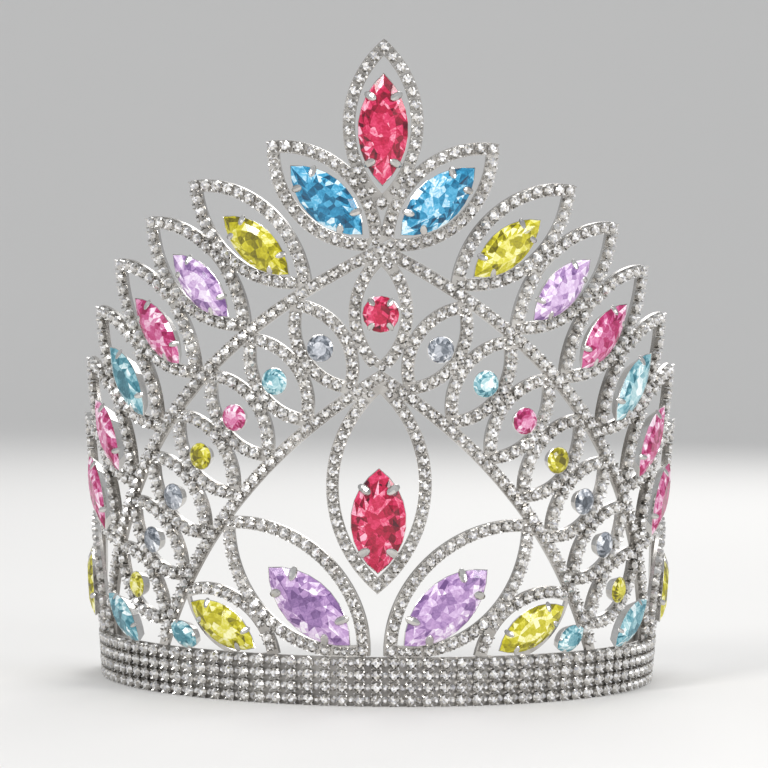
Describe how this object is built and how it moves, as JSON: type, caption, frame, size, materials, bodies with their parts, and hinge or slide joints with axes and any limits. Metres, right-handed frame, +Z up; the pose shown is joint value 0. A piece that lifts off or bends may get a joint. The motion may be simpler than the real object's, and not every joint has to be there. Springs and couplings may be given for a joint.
{
  "type": "rhinestone pageant crown",
  "caption": "Tall open-backed crown of pointed rhinestone loops and coloured marquise stones on a curved band, with hairpin eyes at its ends.",
  "frame": {"origin": "on the axis of the band's cone, in the plane of the band's lower edge, where the head's crown line sits", "axes": "+Z up; the crown's front faces -Y and its open back faces +Y; +X is the right-hand side seen from the front"},
  "size_m": [0.1688, 0.1158, 0.178],
  "materials": {
    "strip_metal": "polished silver-coloured plating",
    "setting_metal": "polished silver-coloured plating",
    "rhinestone": "faceted clear crystal, foil backed, in a silver-coloured cup",
    "red_crystal": "faceted red crystal, foil backed",
    "blue_crystal": "faceted blue crystal, foil backed",
    "aqua_crystal": "faceted aqua crystal, foil backed",
    "yellow_crystal": "faceted yellow crystal, foil backed",
    "lavender_crystal": "faceted lavender crystal, foil backed",
    "pink_crystal": "faceted pink crystal, foil backed",
    "clear_crystal": "faceted clear crystal, foil backed"
  },
  "bodies": {
    "root": {"aqua_marquise_stones": "aqua_crystal", "aqua_round_stones": "aqua_crystal", "arch_rhinestones": "rhinestone", "band_rhinestones": "rhinestone", "base_band": "strip_metal", "blue_marquise_stones": "blue_crystal", "centre_loop": "strip_metal", "centre_rhinestones": "rhinestone", "clear_round_stones": "clear_crystal", "crest_loop_0": "strip_metal", "crest_loop_1_left": "strip_metal", "crest_loop_1_right": "strip_metal", "crest_loop_2_left": "strip_metal", "crest_loop_2_right": "strip_metal", "crest_loop_3_left": "strip_metal", "crest_loop_3_right": "strip_metal", "crest_loop_4_left": "strip_metal", "crest_loop_4_right": "strip_metal", "crest_loop_5_left": "strip_metal", "crest_loop_5_right": "strip_metal", "crest_loop_6_left": "strip_metal", "crest_loop_6_right": "strip_metal", "crest_loop_7_left": "strip_metal", "crest_loop_7_right": "strip_metal", "crest_loop_8_left": "strip_metal", "crest_loop_8_right": "strip_metal", "crest_rhinestones": "rhinestone", "gallery_loop_0": "strip_metal", "gallery_loop_1_left": "strip_metal", "gallery_loop_1_right": "strip_metal", "gallery_loop_2_left": "strip_metal", "gallery_loop_2_right": "strip_metal", "gallery_loop_3_left": "strip_metal", "gallery_loop_3_right": "strip_metal", "gallery_loop_4_left": "strip_metal", "gallery_loop_4_right": "strip_metal", "gallery_loop_5_left": "strip_metal", "gallery_loop_5_right": "strip_metal", "gallery_loop_6_left": "strip_metal", "gallery_loop_6_right": "strip_metal", "gallery_loop_7_left": "strip_metal", "gallery_loop_7_right": "strip_metal", "gallery_rhinestones": "rhinestone", "inner_arch_left": "strip_metal", "inner_arch_right": "strip_metal", "lavender_marquise_stones": "lavender_crystal", "lower_loop_left": "strip_metal", "lower_loop_right": "strip_metal", "outer_arch_left": "strip_metal", "outer_arch_right": "strip_metal", "pink_marquise_stones": "pink_crystal", "pink_round_stones": "pink_crystal", "red_marquise_stones": "red_crystal", "red_round_stones": "red_crystal", "side_loop_left": "strip_metal", "side_loop_right": "strip_metal", "stone_settings": "setting_metal", "yellow_marquise_stones": "yellow_crystal", "yellow_round_stones": "yellow_crystal"}
  },
  "joints": []
}
